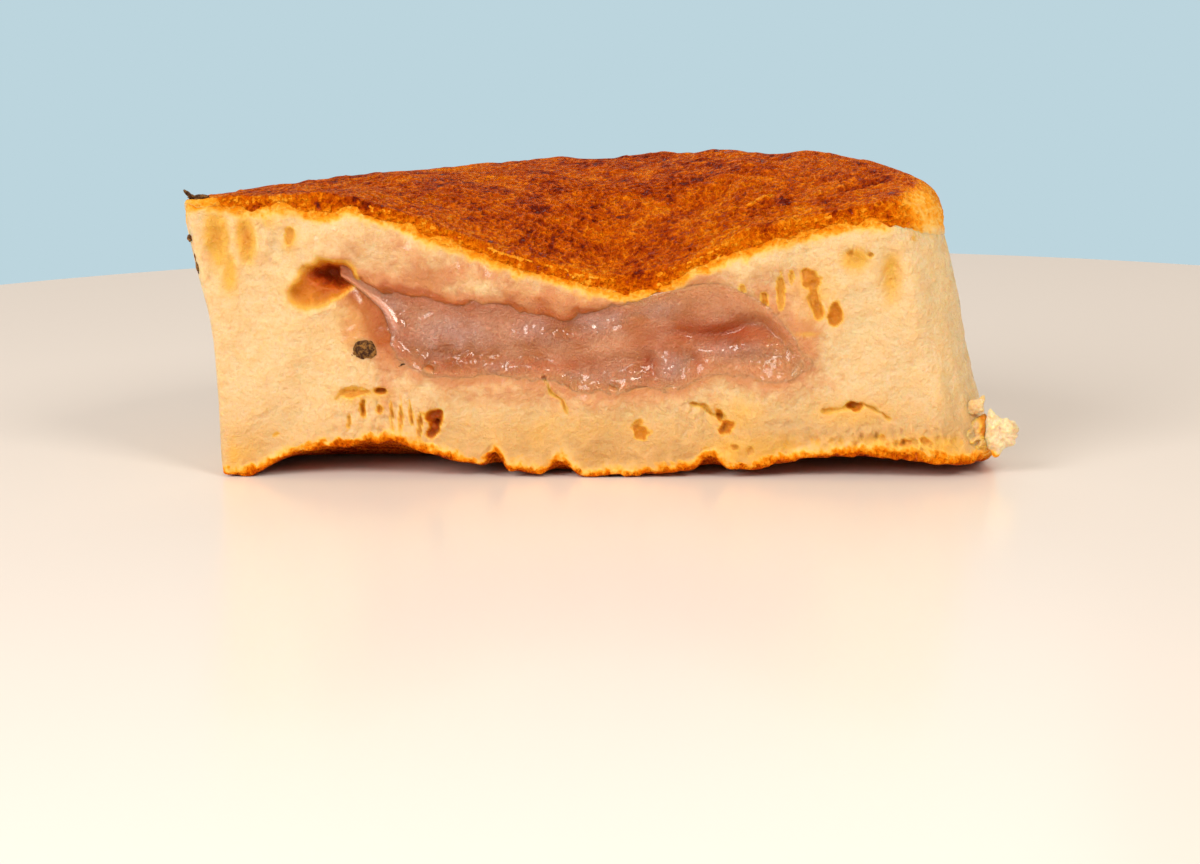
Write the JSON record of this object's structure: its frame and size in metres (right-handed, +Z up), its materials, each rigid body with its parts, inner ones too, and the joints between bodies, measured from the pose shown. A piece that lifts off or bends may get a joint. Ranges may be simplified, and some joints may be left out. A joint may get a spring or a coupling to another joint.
{
  "type": "peanut pancake half",
  "caption": "Half of a thick round griddle cake cut straight through, with a browned top that sags at the cut, pale spongy crumb and a soft peanut paste filling.",
  "frame": {"origin": "middle of the piece's box, on the surface it rests on", "axes": "+X along the cut from its left end to its right end, +Y from the cut into the piece, +Z up"},
  "size_m": [0.0862, 0.0397, 0.0313],
  "materials": {
    "baked_dough": "moist spongy crumb, browned on top and base",
    "paste": "smooth wet paste"
  },
  "bodies": {
    "root": {"dough": "baked_dough", "filling": "paste"}
  },
  "joints": []
}
